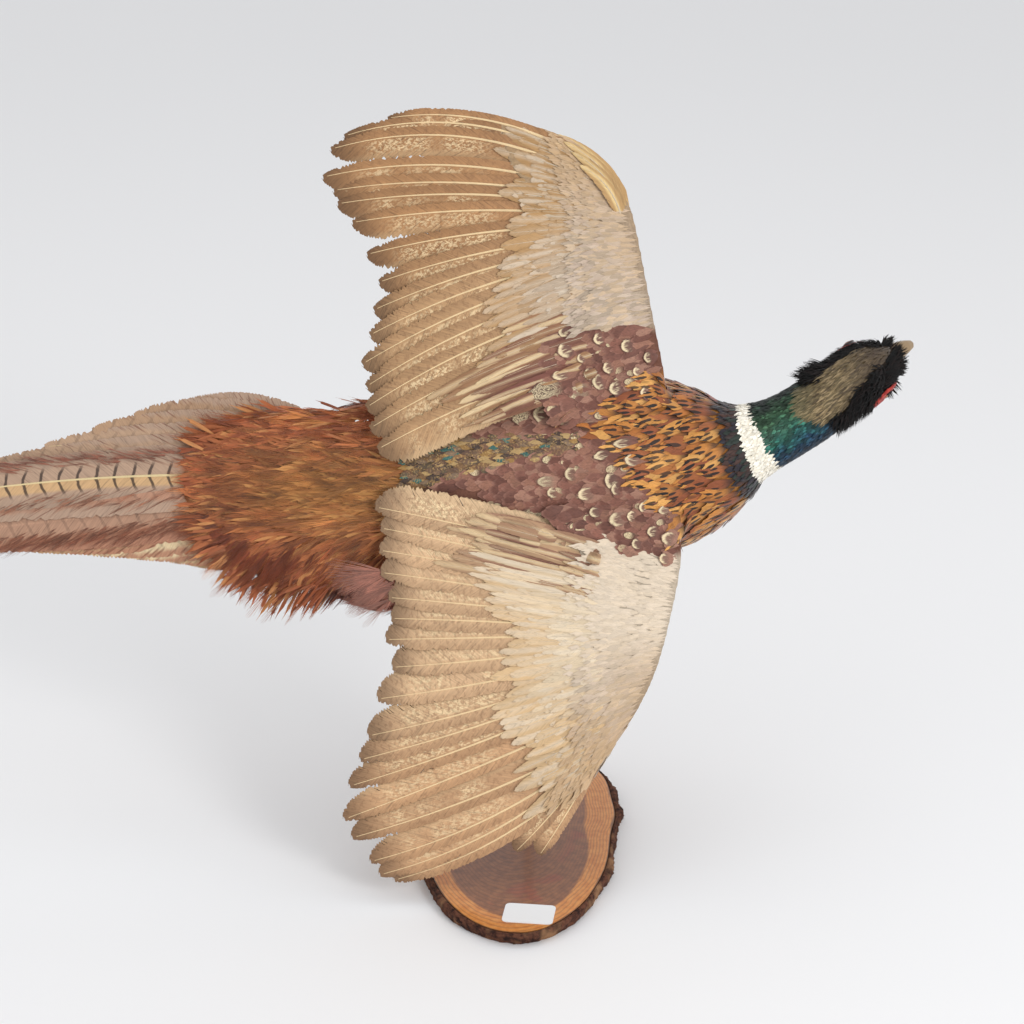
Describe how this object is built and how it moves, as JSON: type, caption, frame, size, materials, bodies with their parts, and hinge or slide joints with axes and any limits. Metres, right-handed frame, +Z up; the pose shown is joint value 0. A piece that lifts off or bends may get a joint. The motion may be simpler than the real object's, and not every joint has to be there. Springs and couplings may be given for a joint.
{
  "type": "taxidermy pheasant",
  "caption": "Still life-size mount of a male ring-necked pheasant banking in flight on a short rod over an oval bark-edged log slice.",
  "frame": {"origin": "on the flat underside of the log slice, under the middle of the bird's back as seen from the side", "axes": "+X towards the bird's head, +Z up, -Y the side to which the bird shows its back"},
  "size_m": [0.8972, 0.3334, 0.5724],
  "materials": {
    "body_plumage": "satin",
    "neck_plumage": "satin",
    "wing_plumage": "satin",
    "tail_plumage": "satin",
    "horn": "satin",
    "eye_glass": "gloss",
    "bare_skin": "matte",
    "leg_scale": "satin",
    "varnished_wood": "gloss",
    "bark": "matte",
    "card": "matte",
    "blackened_iron": "satin",
    "rod_steel": "satin"
  },
  "bodies": {
    "root": {"trunk": "body_plumage", "neck": "neck_plumage", "head": "neck_plumage", "flank_right": "body_plumage", "tail_coverts": "body_plumage", "tail": "tail_plumage", "bill_upper": "horn", "bill_lower": "horn", "eye_left": "eye_glass", "eye_right": "eye_glass", "wattle_left": "bare_skin", "wattle_right": "bare_skin", "wing_left_arm": "wing_plumage", "wing_left_secondaries": "wing_plumage", "wing_left_primaries": "wing_plumage", "wing_right_arm": "wing_plumage", "wing_right_secondaries": "wing_plumage", "wing_right_primaries": "wing_plumage", "leg_left_thigh": "body_plumage", "leg_right_thigh": "body_plumage", "leg_left_foot": "leg_scale", "leg_right_foot": "leg_scale", "stand_slice": "varnished_wood", "stand_bark": "bark", "stand_label": "card", "stand_foot": "blackened_iron", "stand_rod": "rod_steel"}
  },
  "joints": []
}
